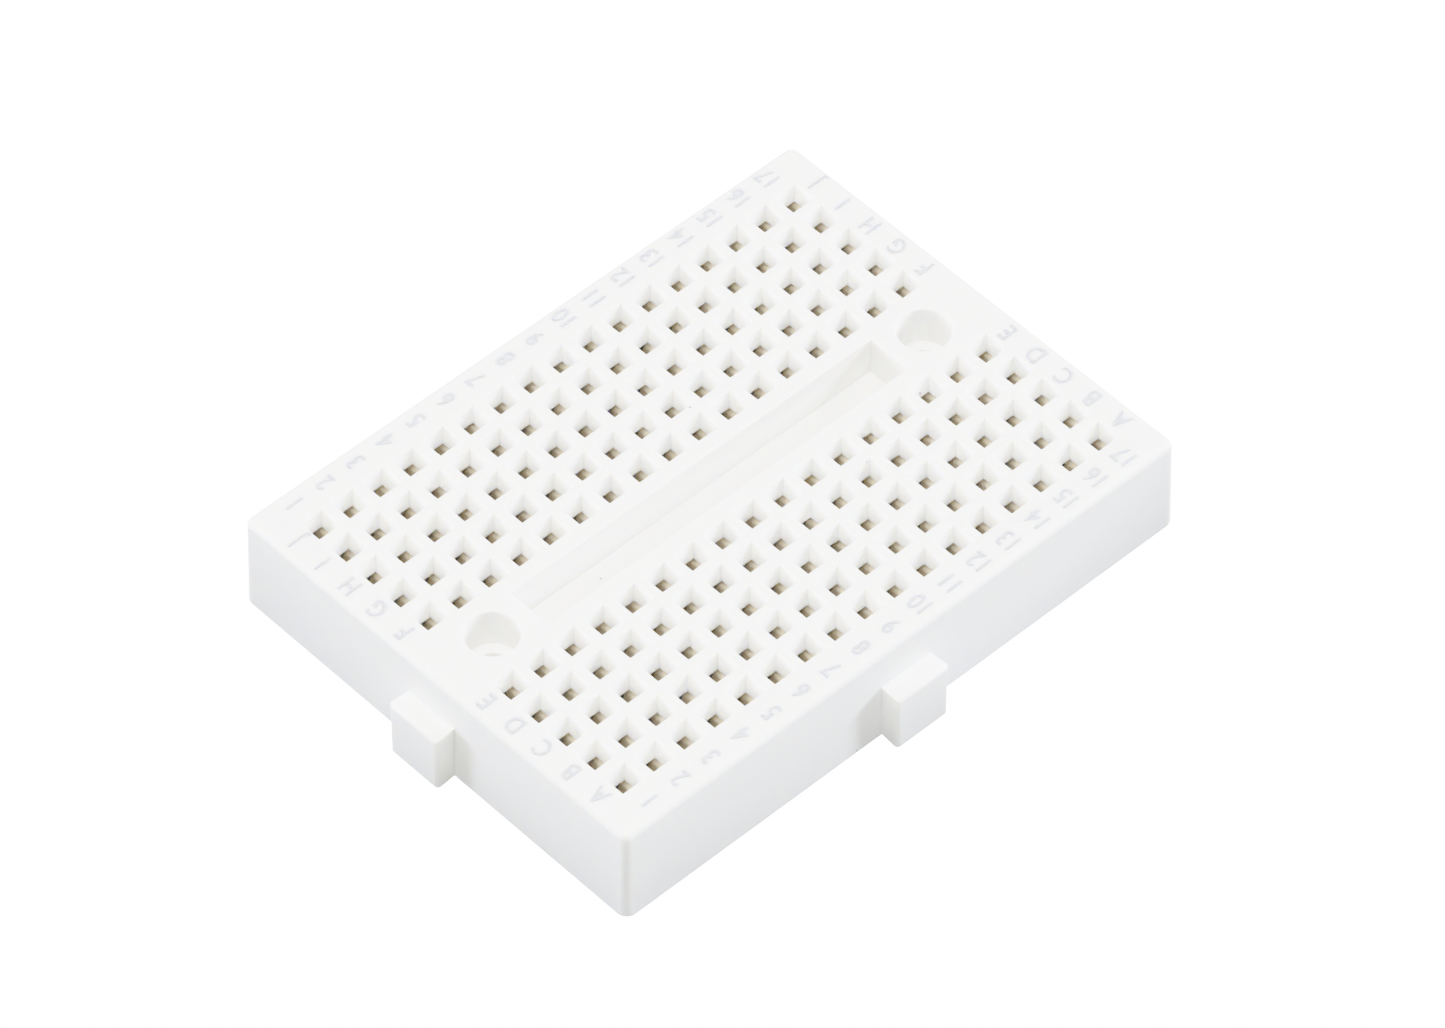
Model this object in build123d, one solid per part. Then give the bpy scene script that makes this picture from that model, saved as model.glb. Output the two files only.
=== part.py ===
"""Mini solderless breadboard, 170 tie points, in millimetres.

The frame stands at the middle of the tie-point grid, on the underside of the release liner.
+X runs along the numbered columns, +Y from row A to row J, and +Z is up.
Under the moulded housing, 34 spring clips sit in pockets that a foam tape closes.
"""
from build123d import *

import os

# Tie-point grid: 0.1 inch, with 0.3 inch between the two inner rows for a chip's legs.
PITCH = 2.54
COLUMNS = 17
BANK_ROWS = 5
INNER_ROWS_APART = 7.62

# Adhesive backing: a foam tape with its release liner.
LINER_THICKNESS = 0.1
TAPE_THICKNESS = 0.8
TAPE_PAST_SLOTS = 0.1

# Housing: one ABS moulding with draft for the mould. The margins run from the outer
# tie points to the walls at the underside.
END_MARGIN = 3.43
SIDE_MARGIN = 3.83
HEIGHT = 7.6
DRAFT_ANGLE = 1.5
CORNER_RADIUS = 0.8
TOP_EDGE_RADIUS = 0.55

# Tie point: a square funnel that leads a wire down to a short square throat.
FUNNEL_MOUTH = 1.8
FUNNEL_DEPTH = 0.95
THROAT = 0.9
THROAT_LENGTH = 0.1
MOUTH_CHAMFER = 0.05

# Centre channel that a chip straddles.
CHANNEL_WIDTH = 3.4
CHANNEL_DEPTH = 2.95
CHANNEL_TO_SCREW = 3.05

# Two counterbored holes for small screws, on the channel's line.
SCREW_TO_END = 5.25
SCREW_HOLE = 2.05
COUNTERBORE = 3.6
COUNTERBORE_DEPTH = 3.0

# Contact clip: a U of plated spring strip with five pairs of leaves.
CLIP_WIDTH = 1.8
STRIP_THICKNESS = 0.18
CLIP_WALL = 1.5
BEND_RADIUS = 0.25
LEAF_GAP = 0.8
LEAF_TIP_GAP = 1.3
TIP_TAPER = 1.1
PINCH_GAP = 0.12
PINCH_DEPTH = 1.9
LIP_DEPTH = 0.4
LIP_NECK = 0.6
LIP_MOUTH = 1.16
TIP_CLEARANCE = 0.05
CLIP_CLEARANCE = 0.1

# Ribs between the tie points of one pocket, which stand in the gaps between leaves.
RIB_THICKNESS = 0.5
RIB_DEPTH = 2.6

# Dovetail tabs on two sides and the slots for them on the other two.
TAB_WIDTH = 4.45
TAB_REACH = 1.5
TAB_HEIGHT = 4.5
TAB_UNDERCUT = 0.12
TAB_EDGE_RADIUS = 0.3
SLOT_CLEARANCE = 0.15

# What follows from them.
BANK_SPAN = (BANK_ROWS - 1) * PITCH
LENGTH = (COLUMNS - 1) * PITCH + 2 * END_MARGIN
WIDTH = INNER_ROWS_APART + 2 * BANK_SPAN + 2 * SIDE_MARGIN
SCREWS_APART = LENGTH - 2 * SCREW_TO_END
CHANNEL_LENGTH = SCREWS_APART - 2 * CHANNEL_TO_SCREW
TAPE_BOTTOM = LINER_THICKNESS
HOUSING_BOTTOM = TAPE_BOTTOM + TAPE_THICKNESS
HOUSING_TOP = HOUSING_BOTTOM + HEIGHT
DECK_BOTTOM = HOUSING_TOP - FUNNEL_DEPTH - THROAT_LENGTH
BANK_CENTRE = (INNER_ROWS_APART + BANK_SPAN) / 2
POCKET_WIDTH = CLIP_WIDTH + 2 * CLIP_CLEARANCE
CLIP_LENGTH = BANK_ROWS * PITCH - LEAF_GAP
POCKET_LENGTH = CLIP_LENGTH + 2 * CLIP_CLEARANCE
CLIP_HEIGHT = DECK_BOTTOM - TIP_CLEARANCE - HOUSING_BOTTOM
TAPE_INSET = TAB_REACH + SLOT_CLEARANCE + TAPE_PAST_SLOTS
BANKS = {"ae": -BANK_CENTRE, "fj": BANK_CENTRE}


def column_x(column):
    """Centre of a column, counted from 0 at the -X end."""
    return (column - (COLUMNS - 1) / 2) * PITCH


def frustum(lower, upper, low, high):
    """Square frustum about the Z axis, from side length lower at low to upper at high."""
    return loft([Pos(0, 0, low) * Rectangle(lower, lower), Pos(0, 0, high) * Rectangle(upper, upper)])


def tie_point():
    """What one tie point takes out of the deck, with the top of the housing at z = 0."""
    to_pocket = FUNNEL_DEPTH + THROAT_LENGTH
    throat = Box(THROAT, THROAT, to_pocket, align=(Align.CENTER, Align.CENTER, Align.MAX))
    funnel = frustum(THROAT, FUNNEL_MOUTH, -FUNNEL_DEPTH, 0)
    rim = FUNNEL_MOUTH + 2 * MOUTH_CHAMFER
    softened_rim = frustum(FUNNEL_MOUTH - 2 * MOUTH_CHAMFER, rim, -MOUTH_CHAMFER, 0)
    return throat + funnel + softened_rim


def pocket():
    """Space for one clip, open at the underside, with ribs left between its tie points."""
    to_deck = DECK_BOTTOM - HOUSING_BOTTOM
    space = Box(
        POCKET_WIDTH, POCKET_LENGTH, to_deck, align=(Align.CENTER, Align.CENTER, Align.MIN)
    )
    ribs = [
        Pos(0, (gap - BANK_ROWS / 2) * PITCH, to_deck)
        * Box(POCKET_WIDTH, RIB_THICKNESS, RIB_DEPTH, align=(Align.CENTER, Align.CENTER, Align.MAX))
        for gap in range(1, BANK_ROWS)
    ]
    return space - ribs


def dovetail(spare=0.0):
    """Tab that reaches along +X from x = 0, wider at its outer face, with spare all round."""
    half = TAB_WIDTH / 2 + spare
    reach = TAB_REACH + spare
    root = 1.0
    slope = TAB_UNDERCUT / TAB_REACH
    neck = half - slope * (reach + root)
    outline = make_face(
        Polyline((-root, -neck), (reach, -half), (reach, half), (-root, neck), close=True)
    )
    return extrude(outline, TAB_HEIGHT + spare)


def tab():
    """Dovetail with its outer edges rounded, as the mould leaves them."""
    block = dovetail()
    outer = block.faces().sort_by(Axis.X)[-1]
    soft = outer.edges().sort_by(Axis.Z)[1:]
    return fillet(soft, TAB_EDGE_RADIUS)


def housing():
    """The moulded housing, with its tie points, channel, screw holes, tabs and slots."""
    outline = RectangleRounded(LENGTH, WIDTH, CORNER_RADIUS)
    body = extrude(outline, HEIGHT, taper=DRAFT_ANGLE)
    body = fillet(body.faces().sort_by(Axis.Z)[-1].edges(), TOP_EDGE_RADIUS)

    body += Pos(-LENGTH / 2, 0) * Rot(0, 0, 180) * tab()
    body += Pos(0, -WIDTH / 2) * Rot(0, 0, -90) * tab()
    body -= Pos(LENGTH / 2, 0) * Rot(0, 0, 180) * dovetail(SLOT_CLEARANCE)
    body -= Pos(0, WIDTH / 2) * Rot(0, 0, -90) * dovetail(SLOT_CLEARANCE)

    down = (Align.CENTER, Align.CENTER, Align.MAX)
    body -= Pos(0, 0, HEIGHT) * Box(CHANNEL_LENGTH, CHANNEL_WIDTH, CHANNEL_DEPTH, align=down)
    for side in (-1, 1):
        at_top = Pos(side * SCREWS_APART / 2, 0, HEIGHT)
        body -= at_top * Cylinder(SCREW_HOLE / 2, HEIGHT, align=down)
        body -= at_top * Cylinder(COUNTERBORE / 2, COUNTERBORE_DEPTH, align=down)

    one_pocket = pocket()
    body -= [
        Pos(column_x(column), y) * one_pocket for column in range(COLUMNS) for y in BANKS.values()
    ]
    one_tie_point = tie_point()
    body -= [
        Pos(column_x(column), y + row * PITCH - BANK_SPAN / 2, HEIGHT) * one_tie_point
        for column in range(COLUMNS)
        for y in BANKS.values()
        for row in range(BANK_ROWS)
    ]
    return Pos(0, 0, HOUSING_BOTTOM) * body


def slit():
    """Cut between two pairs of leaves, wider towards their tips, about the origin."""
    foot = LEAF_GAP / 2
    tip = LEAF_TIP_GAP / 2
    taper_from = CLIP_HEIGHT - TIP_TAPER
    side = [(foot, CLIP_WALL), (foot, taper_from), (tip, CLIP_HEIGHT)]
    other_side = [(-y, z) for y, z in reversed(side)]
    outline = Plane.YZ * make_face(Polyline(*side, *other_side, close=True))
    return extrude(outline, CLIP_WIDTH, both=True)


def contact_clip():
    """One clip, with its base on z = 0: a bent strip, slit into five pairs of leaves.

    Each leaf rises from the wall to the pinch, then leans out and ends in a flared lip.
    """
    half = STRIP_THICKNESS / 2
    right = [
        (CLIP_WIDTH / 2 - half, half),
        (CLIP_WIDTH / 2 - half, CLIP_WALL),
        (PINCH_GAP / 2 + half, CLIP_HEIGHT - PINCH_DEPTH),
        (LIP_NECK / 2 + half, CLIP_HEIGHT - LIP_DEPTH),
        (LIP_MOUTH / 2 + half, CLIP_HEIGHT - half),
    ]
    left = [(-x, z) for x, z in reversed(right)]
    line = FilletPolyline(*left, *right, radius=BEND_RADIUS)
    section = Plane.XZ * make_face(offset(line, amount=half, side=Side.BOTH, kind=Kind.ARC))
    strip = Pos(0, CLIP_LENGTH / 2) * extrude(section, CLIP_LENGTH)
    return strip - [Pos(0, (gap - BANK_ROWS / 2) * PITCH) * slit() for gap in range(1, BANK_ROWS)]


def backing(bottom, thickness):
    """One layer of the adhesive backing, cut square and clear of the dovetail slots."""
    sheet = Rectangle(LENGTH - 2 * TAPE_INSET, WIDTH - 2 * TAPE_INSET)
    return Pos(0, 0, bottom) * extrude(sheet, thickness)


nodes = {
    "housing": housing(),
    "foam_tape": backing(TAPE_BOTTOM, TAPE_THICKNESS),
    "release_liner": backing(0, LINER_THICKNESS),
}
one_clip = contact_clip()
for bank, y in BANKS.items():
    for column in range(COLUMNS):
        place = Pos(column_x(column), y, HOUSING_BOTTOM)
        nodes[f"clip_{bank}_{column + 1:02d}"] = place * one_clip

os.makedirs("parts", exist_ok=True)
for name, shape in nodes.items():
    export_step(shape, f"parts/{name}.step")
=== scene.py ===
import math

import bmesh
import bpy
from mathutils import Matrix, Vector


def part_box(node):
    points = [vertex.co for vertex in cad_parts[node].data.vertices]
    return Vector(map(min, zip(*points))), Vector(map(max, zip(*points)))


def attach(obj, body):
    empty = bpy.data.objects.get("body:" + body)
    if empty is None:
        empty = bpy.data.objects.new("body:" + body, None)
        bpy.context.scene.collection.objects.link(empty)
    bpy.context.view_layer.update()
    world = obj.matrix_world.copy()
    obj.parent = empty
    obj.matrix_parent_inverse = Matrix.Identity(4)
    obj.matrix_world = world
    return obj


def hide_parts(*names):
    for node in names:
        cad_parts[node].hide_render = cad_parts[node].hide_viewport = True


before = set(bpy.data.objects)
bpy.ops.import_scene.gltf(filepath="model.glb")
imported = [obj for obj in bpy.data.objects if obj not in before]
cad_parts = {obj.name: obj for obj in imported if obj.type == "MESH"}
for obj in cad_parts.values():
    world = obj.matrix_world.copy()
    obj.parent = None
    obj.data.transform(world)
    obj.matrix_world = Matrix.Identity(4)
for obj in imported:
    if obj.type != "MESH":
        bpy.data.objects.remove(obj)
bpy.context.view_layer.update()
scene = bpy.context.scene
MM = 0.001

# ---------------------------------------------------------------------------------------
# Camera: looks down on the board's near corner with a long lens, level, along its diagonal.
# ---------------------------------------------------------------------------------------
CAMERA_AZIMUTH = math.radians(43.06)
CAMERA_ELEVATION = math.radians(49.14)
CAMERA_DISTANCE = 556.9 * MM
CAMERA_LENS = 221.66
CAMERA_SENSOR = 36
AIM_X = -0.93 * MM
AIM_Y = -2.02 * MM
AIM_BELOW_TOP = 0.85 * MM
housing_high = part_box("housing")[1]
aim = Vector((AIM_X, AIM_Y, housing_high.z - AIM_BELOW_TOP))

camera = bpy.data.objects.new("camera", bpy.data.cameras.new("camera"))
camera.data.lens = CAMERA_LENS
camera.data.sensor_width = CAMERA_SENSOR
camera.data.clip_start = 10 * MM
camera.data.clip_end = 10
line_of_sight = Vector((
    math.sin(CAMERA_AZIMUTH) * math.cos(CAMERA_ELEVATION),
    math.cos(CAMERA_AZIMUTH) * math.cos(CAMERA_ELEVATION),
    -math.sin(CAMERA_ELEVATION),
))
camera.location = aim - line_of_sight * CAMERA_DISTANCE
camera.rotation_mode = "QUATERNION"
camera.rotation_quaternion = line_of_sight.to_track_quat("-Z", "Y")
scene.collection.objects.link(camera)
scene.camera = camera

# ---------------------------------------------------------------------------------------
# Housing: one moulding in white ABS, a little translucent, with a fine satin skin.
# It takes its shape from the CAD solid, with the small edge radii that a mould leaves, and
# every other piece is held in it or stuck to it.
# ---------------------------------------------------------------------------------------
MERGE_DISTANCE = 0.002 * MM
FLAT_ANGLE = math.radians(1)
HOUSING_EDGE = 0.07 * MM
SHARP_ANGLE = math.radians(28)
ABS_WHITE = (0.987, 0.981, 0.958, 1)
ABS_SHADE = (0.983, 0.975, 0.95, 1)
ABS_DRIFT = 90.0
ABS_GRAIN = 5200.0
ABS_ROUGHNESS = (0.38, 0.52)
ABS_SKIN = 0.06
ABS_IOR = 1.5
ABS_GLOW_RADIUS = (1.0, 0.92, 0.7)
ABS_GLOW_DEPTH = 0.35 * MM
DUST_SCALE = 260.0
DUST_INNER = 0.012
DUST_OUTER = 0.028
DUST_GREY = (0.34, 0.32, 0.28, 1)
FINE_BUMP = 0.01 * MM


def piece_from(name, mesh, material, body):
    """A finished piece: its mesh with one material, riding on a body."""
    piece = bpy.data.objects.new(name, mesh)
    scene.collection.objects.link(piece)
    if material:
        mesh.materials.clear()
        mesh.materials.append(material)
    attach(piece, body)
    return piece


def rounded_copy(node, edge, name):
    """The mesh of a CAD node, merged into clean faces, with its sharp edges rounded."""
    shape = bmesh.new()
    shape.from_mesh(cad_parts[node].data)
    bmesh.ops.remove_doubles(shape, verts=shape.verts, dist=MERGE_DISTANCE)
    bmesh.ops.dissolve_limit(
        shape, angle_limit=FLAT_ANGLE, verts=shape.verts, edges=shape.edges
    )
    for face in shape.faces:
        face.smooth = True
    plain = bpy.data.meshes.new(name + "_plain")
    shape.to_mesh(plain)
    shape.free()
    holder = bpy.data.objects.new(name + "_plain", plain)
    scene.collection.objects.link(holder)
    bevel = holder.modifiers.new("edges", "BEVEL")
    bevel.width = edge
    bevel.segments = 2
    bevel.limit_method = "ANGLE"
    bevel.angle_limit = SHARP_ANGLE
    bevel.harden_normals = True
    evaluated = holder.evaluated_get(bpy.context.evaluated_depsgraph_get())
    mesh = bpy.data.meshes.new_from_object(evaluated)
    mesh.name = name
    bpy.data.objects.remove(holder)
    return mesh


def node_tree(name, group=False):
    """A fresh material, or shader group, with its node tree and a short way to add nodes."""
    if group:
        owner = tree = bpy.data.node_groups.new(name, "ShaderNodeTree")
    else:
        owner = bpy.data.materials.new(name)
        owner.use_nodes = True
        tree = owner.node_tree
        tree.nodes.remove(tree.nodes["Principled BSDF"])

    def add(kind, **inputs):
        node = tree.nodes.new(kind)
        for key, value in inputs.items():
            target = node.inputs.get(key.replace("_", " "))
            if target is None:
                setattr(node, key, value)
            elif isinstance(value, bpy.types.NodeSocket):
                tree.links.new(value, target)
            else:
                target.default_value = value
        return node

    return owner, tree, add


def mottle_group():
    """Slow colour drift between two tones and a fine grain, in object space."""
    group, tree, add = node_tree("mottle", group=True)
    new_socket = tree.interface.new_socket
    new_socket("Tone A", in_out="INPUT", socket_type="NodeSocketColor")
    new_socket("Tone B", in_out="INPUT", socket_type="NodeSocketColor")
    new_socket("Drift Scale", in_out="INPUT", socket_type="NodeSocketFloat")
    new_socket("Grain Scale", in_out="INPUT", socket_type="NodeSocketFloat")
    new_socket("Color", in_out="OUTPUT", socket_type="NodeSocketColor")
    new_socket("Grain", in_out="OUTPUT", socket_type="NodeSocketFloat")
    given = add("NodeGroupInput").outputs
    where = add("ShaderNodeTexCoord").outputs["Object"]
    drift = add("ShaderNodeTexNoise", Vector=where, Scale=given["Drift Scale"], Detail=3.0)
    grain = add("ShaderNodeTexNoise", Vector=where, Scale=given["Grain Scale"], Detail=4.0)
    tones = add("ShaderNodeMix", data_type="RGBA")
    tree.links.new(drift.outputs["Fac"], tones.inputs["Factor"])
    tree.links.new(given["Tone A"], tones.inputs[6])
    tree.links.new(given["Tone B"], tones.inputs[7])
    out = add("NodeGroupOutput")
    tree.links.new(tones.outputs[2], out.inputs["Color"])
    tree.links.new(grain.outputs["Fac"], out.inputs["Grain"])
    return group


MOTTLE = mottle_group()


def mottle(add, tone_a, tone_b, drift_scale, grain_scale):
    """One use of the mottle group inside a material."""
    node = add("ShaderNodeGroup", node_tree=MOTTLE)
    node.inputs["Tone A"].default_value = tone_a
    node.inputs["Tone B"].default_value = tone_b
    node.inputs["Drift Scale"].default_value = drift_scale
    node.inputs["Grain Scale"].default_value = grain_scale
    return node.outputs["Color"], node.outputs["Grain"]


def spread(add, value, low, high):
    """A 0 to 1 value, spread over another range."""
    return add("ShaderNodeMapRange", Value=value, To_Min=low, To_Max=high).outputs["Result"]


def moulded_abs():
    """White ABS: soft light inside thin walls, satin skin, and a few specks of dust."""
    material, tree, add = node_tree("moulded_abs")
    colour, grain = mottle(add, ABS_WHITE, ABS_SHADE, ABS_DRIFT, ABS_GRAIN)
    where = add("ShaderNodeTexCoord").outputs["Object"]
    cells = add("ShaderNodeTexVoronoi", Vector=where, Scale=DUST_SCALE)
    speck = add("ShaderNodeMapRange", Value=cells.outputs["Distance"])
    speck.inputs["From Min"].default_value = DUST_INNER
    speck.inputs["From Max"].default_value = DUST_OUTER
    speck.inputs["To Min"].default_value = 1.0
    speck.inputs["To Max"].default_value = 0.0
    dusty = add("ShaderNodeMix", data_type="RGBA")
    dusty.inputs[7].default_value = DUST_GREY
    tree.links.new(speck.outputs["Result"], dusty.inputs["Factor"])
    tree.links.new(colour, dusty.inputs[6])
    skin = add("ShaderNodeBump", Height=grain, Strength=ABS_SKIN, Distance=FINE_BUMP)
    shader = add("ShaderNodeBsdfPrincipled", Base_Color=dusty.outputs[2], IOR=ABS_IOR)
    tree.links.new(spread(add, grain, *ABS_ROUGHNESS), shader.inputs["Roughness"])
    tree.links.new(skin.outputs["Normal"], shader.inputs["Normal"])
    shader.inputs["Subsurface Weight"].default_value = 1.0
    shader.inputs["Subsurface Radius"].default_value = ABS_GLOW_RADIUS
    shader.inputs["Subsurface Scale"].default_value = ABS_GLOW_DEPTH
    tree.links.new(shader.outputs["BSDF"], tree.nodes["Material Output"].inputs["Surface"])
    return material


ABS = moulded_abs()
shell = piece_from(
    "housing_shell",
    rounded_copy("housing", HOUSING_EDGE, "housing_shell"),
    ABS,
    "board",
)
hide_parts("housing")

# ---------------------------------------------------------------------------------------
# Raised index marks: numbers along both long edges, one for each column, and letters along
# both short edges, one for each row. They are part of the moulding and read from +X.
# ---------------------------------------------------------------------------------------
PITCH = 2.54 * MM
COLUMNS = 17
ROWS = "ABCDEFGHIJ"
INNER_ROW = 3.81 * MM
MARK_SIZE = 1.9 * MM
MARK_NARROWING = 0.8
MARK_RISE = 0.015 * MM
MARK_SUNK = 0.02 * MM
MARK_TO_EDGE = 1.45 * MM
MARK_EDGE = 0.015 * MM
LINER_SET_IN = 1.75 * MM


def column_x(column):
    """Centre of a column, counted from 0 at the -X end."""
    return (column - (COLUMNS - 1) / 2) * PITCH


def row_y(row):
    """Centre of a row, counted from 0 at the -Y side."""
    half = len(ROWS) // 2
    step = row - half if row >= half else row - half + 1
    return math.copysign(INNER_ROW, row - half + 0.5) + step * PITCH


def mark(text, x, y):
    """One raised mark as a mesh in its place, the top of the figure towards -X."""
    curve = bpy.data.curves.new("mark", "FONT")
    curve.body = text
    curve.size = MARK_SIZE
    curve.align_x = "CENTER"
    curve.align_y = "CENTER"
    curve.extrude = (MARK_RISE + MARK_SUNK) / 2
    curve.bevel_depth = MARK_EDGE
    curve.bevel_resolution = 1
    curve.resolution_u = 4
    holder = bpy.data.objects.new("mark", curve)
    scene.collection.objects.link(holder)
    mesh = bpy.data.meshes.new_from_object(
        holder.evaluated_get(bpy.context.evaluated_depsgraph_get())
    )
    bpy.data.objects.remove(holder)
    lift = housing_high.z + (MARK_RISE - MARK_SUNK) / 2
    place = Matrix.Translation((x, y, lift)) @ Matrix.Rotation(math.pi / 2, 4, "Z")
    mesh.transform(place @ Matrix.Diagonal((MARK_NARROWING, 1, 1, 1)))
    return mesh


def joined(meshes, name):
    """Several meshes as one, with their doubles merged."""
    together = bmesh.new()
    for mesh in meshes:
        together.from_mesh(mesh)
        bpy.data.meshes.remove(mesh)
    bmesh.ops.remove_doubles(together, verts=together.verts, dist=MERGE_DISTANCE)
    bmesh.ops.recalc_face_normals(together, faces=together.faces)
    whole = bpy.data.meshes.new(name)
    together.to_mesh(whole)
    together.free()
    return whole


liner_low, liner_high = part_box("release_liner")
wall_x = liner_high.x + LINER_SET_IN
wall_y = liner_high.y + LINER_SET_IN
numbers = [
    mark(str(column + 1), column_x(column), side * (wall_y - MARK_TO_EDGE))
    for column in range(COLUMNS)
    for side in (-1, 1)
]
letters = [
    mark(letter, side * (wall_x - MARK_TO_EDGE), row_y(row))
    for row, letter in enumerate(ROWS)
    for side in (-1, 1)
]
piece_from("column_numbers", joined(numbers, "column_numbers"), ABS, "board")
piece_from("row_letters", joined(letters, "row_letters"), ABS, "board")

# ---------------------------------------------------------------------------------------
# Contact clips: 34 strips of nickel-plated phosphor bronze, pressed into the pockets from
# below. Shearing leaves bare bronze on the edges of the leaves.
# ---------------------------------------------------------------------------------------
CLIP_EDGE = 0.02 * MM
NICKEL = (0.94, 0.87, 0.73, 1)
NICKEL_DULL = (0.84, 0.74, 0.57, 1)
BARE_BRONZE = (0.80, 0.58, 0.30, 1)
NICKEL_DRIFT = 900.0
NICKEL_GRAIN = 6000.0
NICKEL_METALLIC = 0.6
NICKEL_ROUGHNESS = (0.35, 0.55)
ROLLING_SCALE = (9000.0, 500.0, 9000.0)
ROLLING_BUMP = 0.25
CUT_FACING = 0.8


def plated_strip():
    """Plated spring strip with rolling lines along it and bare metal on the cut edges."""
    material, tree, add = node_tree("plated_strip")
    colour, grain = mottle(add, NICKEL, NICKEL_DULL, NICKEL_DRIFT, NICKEL_GRAIN)
    where = add("ShaderNodeTexCoord").outputs["Object"]
    along = add("ShaderNodeMapping", Vector=where, Scale=ROLLING_SCALE)
    rolled = add("ShaderNodeTexNoise", Vector=along.outputs["Vector"], Scale=1.0, Detail=2.0)
    normal = add("ShaderNodeNewGeometry").outputs["True Normal"]
    facing = add("ShaderNodeSeparateXYZ", Vector=normal)
    side = add("ShaderNodeMath", operation="ABSOLUTE")
    tree.links.new(facing.outputs["Y"], side.inputs[0])
    sheared = add("ShaderNodeMath", operation="GREATER_THAN")
    sheared.inputs[1].default_value = CUT_FACING
    tree.links.new(side.outputs[0], sheared.inputs[0])
    cut = add("ShaderNodeMix", data_type="RGBA")
    cut.inputs[7].default_value = BARE_BRONZE
    tree.links.new(sheared.outputs[0], cut.inputs["Factor"])
    tree.links.new(colour, cut.inputs[6])
    height = rolled.outputs["Fac"]
    lines = add("ShaderNodeBump", Height=height, Strength=ROLLING_BUMP, Distance=FINE_BUMP)
    shader = add("ShaderNodeBsdfPrincipled", Base_Color=cut.outputs[2])
    shader.inputs["Metallic"].default_value = NICKEL_METALLIC
    tree.links.new(spread(add, grain, *NICKEL_ROUGHNESS), shader.inputs["Roughness"])
    tree.links.new(lines.outputs["Normal"], shader.inputs["Normal"])
    tree.links.new(shader.outputs["BSDF"], tree.nodes["Material Output"].inputs["Surface"])
    return material


def clip_grid(clip, columns, pitch, banks_apart, height, material):
    """Two rows of one clip, laid out on a grid by geometry nodes, as one plain mesh."""
    tree = bpy.data.node_groups.new("clip_grid", "GeometryNodeTree")
    sizes = (
        ("Columns", "NodeSocketInt", columns),
        ("Pitch", "NodeSocketFloat", pitch),
        ("Banks Apart", "NodeSocketFloat", banks_apart),
        ("Height", "NodeSocketFloat", height),
        ("Clip", "NodeSocketObject", clip),
        ("Material", "NodeSocketMaterial", material),
    )
    sockets = {}
    for name, kind, value in sizes:
        sockets[name] = tree.interface.new_socket(name, in_out="INPUT", socket_type=kind)
    tree.interface.new_socket("Geometry", in_out="OUTPUT", socket_type="NodeSocketGeometry")
    nodes, link = tree.nodes, tree.links.new
    given = nodes.new("NodeGroupInput").outputs
    gaps = nodes.new("ShaderNodeMath")
    gaps.operation = "SUBTRACT"
    gaps.inputs[1].default_value = 1
    link(given["Columns"], gaps.inputs[0])
    length = nodes.new("ShaderNodeMath")
    length.operation = "MULTIPLY"
    link(gaps.outputs[0], length.inputs[0])
    link(given["Pitch"], length.inputs[1])
    grid = nodes.new("GeometryNodeMeshGrid")
    link(length.outputs[0], grid.inputs["Size X"])
    link(given["Banks Apart"], grid.inputs["Size Y"])
    link(given["Columns"], grid.inputs["Vertices X"])
    grid.inputs["Vertices Y"].default_value = 2
    lift = nodes.new("ShaderNodeCombineXYZ")
    link(given["Height"], lift.inputs["Z"])
    raised = nodes.new("GeometryNodeSetPosition")
    link(grid.outputs["Mesh"], raised.inputs["Geometry"])
    link(lift.outputs["Vector"], raised.inputs["Offset"])
    one = nodes.new("GeometryNodeObjectInfo")
    link(given["Clip"], one.inputs["Object"])
    copies = nodes.new("GeometryNodeInstanceOnPoints")
    link(raised.outputs["Geometry"], copies.inputs["Points"])
    link(one.outputs["Geometry"], copies.inputs["Instance"])
    real = nodes.new("GeometryNodeRealizeInstances")
    link(copies.outputs["Instances"], real.inputs["Geometry"])
    finish = nodes.new("GeometryNodeSetMaterial")
    link(real.outputs["Geometry"], finish.inputs["Geometry"])
    link(given["Material"], finish.inputs["Material"])
    link(finish.outputs["Geometry"], nodes.new("NodeGroupOutput").inputs["Geometry"])

    holder = bpy.data.objects.new("clip_grid", bpy.data.meshes.new("clip_grid"))
    scene.collection.objects.link(holder)
    modifier = holder.modifiers.new("clip_grid", "NODES")
    modifier.node_group = tree
    for name, kind, value in sizes:
        modifier[sockets[name].identifier] = value
    mesh = bpy.data.meshes.new_from_object(
        holder.evaluated_get(bpy.context.evaluated_depsgraph_get())
    )
    bpy.data.objects.remove(holder)
    return mesh


clip_nodes = sorted(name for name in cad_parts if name.startswith("clip_"))
clip_low, clip_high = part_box(clip_nodes[0])
far_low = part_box(clip_nodes[-1])[0]
clip_mesh = rounded_copy(clip_nodes[0], CLIP_EDGE, "one_clip")
clip_mesh.transform(Matrix.Translation(-(clip_low + clip_high) / 2))
one_clip = bpy.data.objects.new("one_clip", clip_mesh)
scene.collection.objects.link(one_clip)
clips_mesh = clip_grid(
    clip=one_clip,
    columns=COLUMNS,
    pitch=PITCH,
    banks_apart=far_low.y - clip_low.y,
    height=(clip_low.z + clip_high.z) / 2,
    material=plated_strip(),
)
bpy.data.objects.remove(one_clip)
clips = piece_from("contact_clips", clips_mesh, None, "board")
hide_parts(*clip_nodes)

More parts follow.
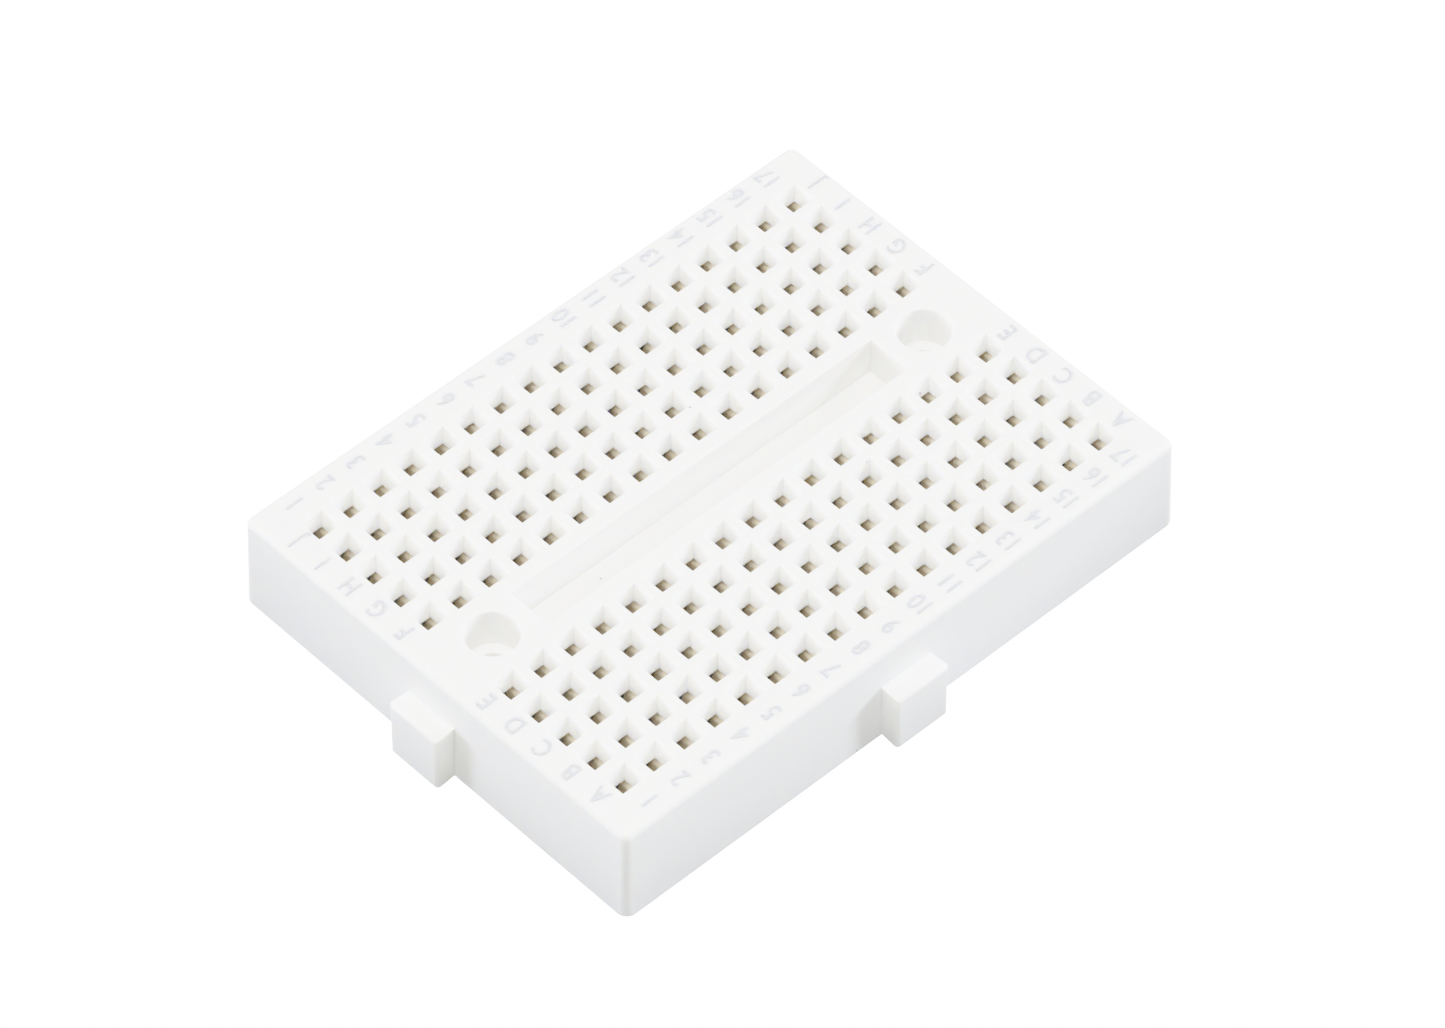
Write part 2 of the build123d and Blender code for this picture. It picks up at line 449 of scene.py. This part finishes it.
# ---------------------------------------------------------------------------------------
# Foam tape: closed-cell foam, die cut, tacky on both faces. Stuck under the housing, it
# closes the clip pockets. Its cut edge is drawn in a little at mid height.
# ---------------------------------------------------------------------------------------
FOAM_CORNER = 0.6 * MM
FOAM_PINCH = 0.07 * MM
FOAM_WHITE = (0.86, 0.85, 0.81, 1)
FOAM_CREAM = (0.80, 0.78, 0.71, 1)
FOAM_CHAMFER = 0.02 * MM
FOAM_DRIFT = 260.0
FOAM_GRAIN = 4000.0
FOAM_CUT_ROUGHNESS = 0.92
FOAM_FILM_ROUGHNESS = 0.36
FOAM_GLOW = 0.6
FOAM_GLOW_DEPTH = 0.3 * MM
PORE_SCALE = 6500.0
PORE_BUMP = 0.6
PORE_DEPTH = 0.06 * MM
CORNER_STEPS = 5


def rounded_outline(half_x, half_y, corner, steps):
    """Points of a rectangle with round corners, counter-clockwise."""
    points = []
    for quarter, (sign_x, sign_y) in enumerate(((1, 1), (-1, 1), (-1, -1), (1, -1))):
        for step in range(steps + 1):
            angle = (quarter + step / steps) * math.pi / 2
            points.append((
                sign_x * (half_x - corner) + corner * math.cos(angle),
                sign_y * (half_y - corner) + corner * math.sin(angle),
            ))
    return points


def sheet_mesh(name, low, high, corner, levels):
    """A slab whose outline is drawn in by the given amount at each level of its height."""
    slab = bmesh.new()
    rings = []
    for share, draw_in in levels:
        half_x = (high.x - low.x) / 2 - draw_in
        half_y = (high.y - low.y) / 2 - draw_in
        height = low.z + share * (high.z - low.z)
        outline = rounded_outline(half_x, half_y, corner, CORNER_STEPS)
        rings.append([slab.verts.new((x, y, height)) for x, y in outline])
    count = len(rings[0])
    for lower, upper in zip(rings, rings[1:]):
        for i in range(count):
            j = (i + 1) % count
            slab.faces.new((lower[i], lower[j], upper[j], upper[i]))
    slab.faces.new(list(reversed(rings[0])))
    slab.faces.new(rings[-1])
    mesh = bpy.data.meshes.new(name)
    slab.to_mesh(mesh)
    slab.free()
    return mesh


def closed_cell_foam():
    """White foam: fine cells, matte on the cut edge and glossier on the adhesive faces."""
    material, tree, add = node_tree("closed_cell_foam")
    colour = mottle(add, FOAM_WHITE, FOAM_CREAM, FOAM_DRIFT, FOAM_GRAIN)[0]
    where = add("ShaderNodeTexCoord").outputs["Object"]
    cells = add("ShaderNodeTexVoronoi", Vector=where, Scale=PORE_SCALE).outputs["Distance"]
    pores = add("ShaderNodeBump", Height=cells, Strength=PORE_BUMP, Distance=PORE_DEPTH)
    normal = add("ShaderNodeNewGeometry").outputs["True Normal"]
    facing = add("ShaderNodeSeparateXYZ", Vector=normal)
    flat = add("ShaderNodeMath", operation="ABSOLUTE")
    tree.links.new(facing.outputs["Z"], flat.inputs[0])
    shader = add("ShaderNodeBsdfPrincipled", Base_Color=colour)
    sheen = spread(add, flat.outputs[0], FOAM_CUT_ROUGHNESS, FOAM_FILM_ROUGHNESS)
    tree.links.new(sheen, shader.inputs["Roughness"])
    tree.links.new(pores.outputs["Normal"], shader.inputs["Normal"])
    shader.inputs["Subsurface Weight"].default_value = FOAM_GLOW
    shader.inputs["Subsurface Scale"].default_value = FOAM_GLOW_DEPTH
    tree.links.new(shader.outputs["BSDF"], tree.nodes["Material Output"].inputs["Surface"])
    return material


foam_low, foam_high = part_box("foam_tape")
foam_levels = [(0, FOAM_CHAMFER), (0.12, 0), (0.5, FOAM_PINCH), (0.88, 0), (1, FOAM_CHAMFER)]
foam = piece_from(
    "foam_pad",
    sheet_mesh("foam_pad", foam_low, foam_high, FOAM_CORNER, foam_levels),
    closed_cell_foam(),
    "board",
)
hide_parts("foam_tape")

# ---------------------------------------------------------------------------------------
# Release liner: honey-coloured glassine paper, waxed, cut with the foam to the same outline.
# It clings to the adhesive under the foam, and peels off before the board is stuck down.
# ---------------------------------------------------------------------------------------
LINER_HONEY = (0.80, 0.70, 0.50, 1)
LINER_PALE = (0.86, 0.78, 0.60, 1)
LINER_CHAMFER = 0.01 * MM
LINER_DRIFT = 500.0
LINER_GRAIN = 5000.0
LINER_ROUGHNESS = (0.28, 0.42)
FIBRE_SCALE = (700.0, 3200.0, 3200.0)
FIBRE_BUMP = 0.2


def waxed_paper():
    """Glassine: paper fibre under a smooth wax."""
    material, tree, add = node_tree("waxed_paper")
    colour, grain = mottle(add, LINER_HONEY, LINER_PALE, LINER_DRIFT, LINER_GRAIN)
    where = add("ShaderNodeTexCoord").outputs["Object"]
    stretched = add("ShaderNodeMapping", Vector=where, Scale=FIBRE_SCALE)
    fibre = add("ShaderNodeTexNoise", Vector=stretched.outputs["Vector"], Scale=1.0, Detail=5.0)
    height = fibre.outputs["Fac"]
    bump = add("ShaderNodeBump", Height=height, Strength=FIBRE_BUMP, Distance=FINE_BUMP)
    shader = add("ShaderNodeBsdfPrincipled", Base_Color=colour)
    tree.links.new(spread(add, grain, *LINER_ROUGHNESS), shader.inputs["Roughness"])
    tree.links.new(bump.outputs["Normal"], shader.inputs["Normal"])
    tree.links.new(shader.outputs["BSDF"], tree.nodes["Material Output"].inputs["Surface"])
    return material


liner_levels = [(0, LINER_CHAMFER), (0.2, 0), (0.8, 0), (1, LINER_CHAMFER)]
liner = piece_from(
    "liner_sheet",
    sheet_mesh("liner_sheet", liner_low, liner_high, FOAM_CORNER, liner_levels),
    waxed_paper(),
    "liner",
)
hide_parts("release_liner")

# ---------------------------------------------------------------------------------------
# Floor and light: a white table, a pale room that the camera sees as white, two soft lamps
# overhead, one low on each flank, which shades the tabs' roots, and a faint one in front.
# ---------------------------------------------------------------------------------------
FLOOR_HALF = 1.2
FLOOR_DROP = 0.01 * MM
FLOOR_GREY = (0.5, 0.5, 0.5, 1)
FLOOR_CLOUD = 3.0
FLOOR_ROUGHNESS = (0.3, 0.4)
PLAIN_WHITE = (1, 1, 1, 1)
ROOM_COLOUR = (0.93, 1.0, 0.88, 1)
ROOM_STRENGTH = 0.128
LAMP_DISTANCE = 1.0
# Name, direction round from +X and above the horizon in degrees, size in metres, watts by
# colour channel.
LAMPS = (
    ("top_lamp", -133, 80, 0.4, (2.12, 2.05, 2.00)),
    ("upper_lamp", 132, 50, 0.4, (1.00, 0.88, 0.74)),
    ("left_lamp", 132, 12, 0.25, (1.54, 1.68, 2.15)),
    ("right_lamp", -33, 22, 0.25, (2.42, 2.51, 2.92)),
    ("front_lamp", -133, 30, 0.5, (0.20, 0.20, 0.19)),
)
# The camera's response: bright tones crowd together towards white, as on a light exposure.
RESPONSE = 5.2
RESPONSE_STEPS = 16


def floor_finish():
    """A table that lights the board as matte grey paint, and looks plain white itself."""
    material, tree, add = node_tree("table_white")
    where = add("ShaderNodeTexCoord").outputs["Object"]
    cloud = add("ShaderNodeTexNoise", Vector=where, Scale=FLOOR_CLOUD)
    paint = add("ShaderNodeBsdfDiffuse", Color=FLOOR_GREY)
    rough = spread(add, cloud.outputs["Fac"], *FLOOR_ROUGHNESS)
    tree.links.new(rough, paint.inputs["Roughness"])
    glow = add("ShaderNodeEmission", Color=PLAIN_WHITE, Strength=1.0)
    seen = add("ShaderNodeLightPath").outputs["Is Camera Ray"]
    both = add("ShaderNodeMixShader")
    tree.links.new(seen, both.inputs[0])
    tree.links.new(paint.outputs[0], both.inputs[1])
    tree.links.new(glow.outputs[0], both.inputs[2])
    tree.links.new(both.outputs[0], tree.nodes["Material Output"].inputs["Surface"])
    return material


def lamp(name, azimuth, elevation, size, watts):
    """A square soft lamp that faces the board from a direction."""
    light = bpy.data.lights.new(name, "AREA")
    light.size = size
    light.energy = max(watts)
    light.color = [channel / max(watts) for channel in watts]
    flat = math.cos(math.radians(elevation))
    towards = Vector((
        math.cos(math.radians(azimuth)) * flat,
        math.sin(math.radians(azimuth)) * flat,
        math.sin(math.radians(elevation)),
    ))
    holder = bpy.data.objects.new(name, light)
    holder.location = towards * LAMP_DISTANCE
    holder.rotation_mode = "QUATERNION"
    holder.rotation_quaternion = (-towards).to_track_quat("-Z", "Y")
    holder.visible_camera = False
    scene.collection.objects.link(holder)


floor_mesh = bpy.data.meshes.new("floor")
signs = ((-1, -1), (1, -1), (1, 1), (-1, 1))
corners = [(x * FLOOR_HALF, y * FLOOR_HALF, -FLOOR_DROP) for x, y in signs]
floor_mesh.from_pydata(corners, [], [(0, 1, 2, 3)])
floor_mesh.materials.append(floor_finish())
floor = bpy.data.objects.new("floor", floor_mesh)
scene.collection.objects.link(floor)
for values in LAMPS:
    lamp(*values)

room = bpy.data.worlds.new("room")
room.use_nodes = True
background = room.node_tree.nodes["Background"]
background.inputs["Color"].default_value = ROOM_COLOUR
background.inputs["Strength"].default_value = ROOM_STRENGTH
backdrop = room.node_tree.nodes.new("ShaderNodeBackground")
backdrop.inputs["Color"].default_value = PLAIN_WHITE
seen = room.node_tree.nodes.new("ShaderNodeLightPath")
both = room.node_tree.nodes.new("ShaderNodeMixShader")
link = room.node_tree.links.new
link(seen.outputs["Is Camera Ray"], both.inputs[0])
link(background.outputs[0], both.inputs[1])
link(backdrop.outputs[0], both.inputs[2])
link(both.outputs[0], room.node_tree.nodes["World Output"].inputs["Surface"])
scene.world = room

view = scene.view_settings
view.view_transform = "Standard"
view.use_curve_mapping = True
view.curve_mapping.extend = "HORIZONTAL"
response = view.curve_mapping.curves[3]
for step in range(1, RESPONSE_STEPS):
    light_in = (step / RESPONSE_STEPS) ** 2
    tone = (1 - math.exp(-RESPONSE * light_in)) / (1 - math.exp(-RESPONSE))
    response.points.new(light_in, tone)
view.curve_mapping.update()
